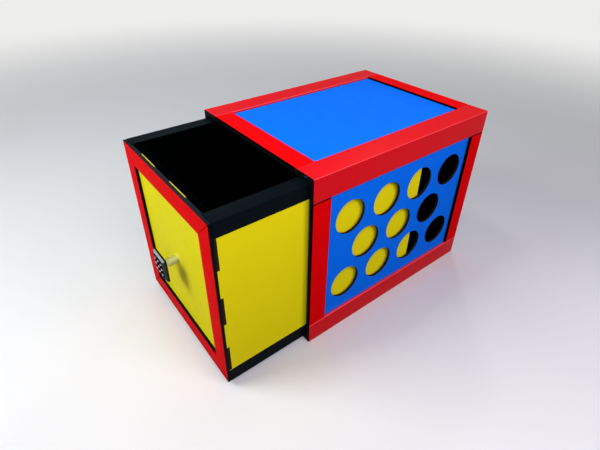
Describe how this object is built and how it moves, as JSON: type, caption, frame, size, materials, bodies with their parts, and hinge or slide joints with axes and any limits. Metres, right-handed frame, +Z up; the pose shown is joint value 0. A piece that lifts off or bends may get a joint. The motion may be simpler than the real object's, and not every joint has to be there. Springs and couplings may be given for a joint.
{
  "type": "magic drawer box",
  "caption": "Box-shaped case with round sight holes in both sides, an open-backed sliding drawer with a square knob, a hidden inner tray and a rear turn-catch.",
  "frame": {"origin": "centre of the whole object's footprint on the surface it stands on, with the drawer pulled out as it rests", "axes": "+Z up, +Y from the drawer's knob towards the case's back, +X to the right seen from the drawer's front"},
  "size_m": [0.189, 0.3616, 0.2],
  "materials": {
    "blue_board": "satin blue paint outside, matt black inside and on the cut edges",
    "red_rail": "glossy red",
    "red_strip": "satin red paint with blackened cut edges",
    "yellow_board": "satin yellow paint outside, matt black inside",
    "black_board": "matt black paint",
    "black_angle": "satin black",
    "chrome": "polished",
    "black_enamel": "gloss black",
    "clear_stone": "faceted and clear",
    "zinc_steel": "zinc plated",
    "black_metal": "black powder coat",
    "brass": "turned brass"
  },
  "bodies": {
    "case": {"case_top_board": "blue_board", "case_bottom_board": "blue_board", "case_left_board": "blue_board", "case_right_board": "blue_board", "case_back_board": "blue_board", "rail_top_left": "red_rail", "rail_top_right": "red_rail", "rail_bottom_left": "red_rail", "rail_bottom_right": "red_rail", "top_front_strip": "red_strip", "top_back_strip": "red_strip", "bottom_front_strip": "red_strip", "bottom_back_strip": "red_strip", "left_front_strip": "red_strip", "left_back_strip": "red_strip", "right_front_strip": "red_strip", "right_back_strip": "red_strip", "mouth_batten": "black_board", "catch_bush": "brass"},
    "drawer": {"drawer_front_board": "yellow_board", "drawer_left_board": "yellow_board", "drawer_right_board": "yellow_board", "drawer_floor_board": "yellow_board", "front_frame_top": "red_strip", "front_frame_bottom": "red_strip", "front_frame_left": "red_strip", "front_frame_right": "red_strip", "drawer_angle_top_left": "black_angle", "drawer_angle_top_right": "black_angle", "drawer_angle_bottom_left": "black_angle", "drawer_angle_bottom_right": "black_angle", "front_edge_fillers": "black_board", "drawer_stops": "black_board", "knob_stem": "chrome", "knob_bezel": "chrome", "knob_face": "black_enamel", "knob_stones": "clear_stone", "knob_screw": "zinc_steel", "knob_washer": "zinc_steel"},
    "tray": {"tray_front_board": "black_board", "tray_back_board": "black_board", "tray_left_board": "black_board", "tray_right_board": "black_board", "tray_floor_board": "black_board"},
    "catch": {"catch_shaft": "zinc_steel", "catch_bar": "black_metal", "catch_button": "black_metal"}
  },
  "joints": [
    {"name": "drawer_slide", "type": "slide", "parent": "case", "child": "drawer", "axis": [0, -1, 0], "range_m": [-0.0865, 0.1327]},
    {"name": "tray_slide", "type": "slide", "parent": "case", "child": "tray", "axis": [0, -1, 0], "range_m": [-0.0865, 0.1327]},
    {"name": "catch_turn", "type": "hinge", "parent": "case", "child": "catch", "pos_m": [0, 0.1755, 0.178], "axis": [0, 1, 0], "range_deg": [0, 90]}
  ],
  "couplings": [
    {"joint": "tray_slide", "follows": "drawer_slide", "ratio": 1}
  ]
}
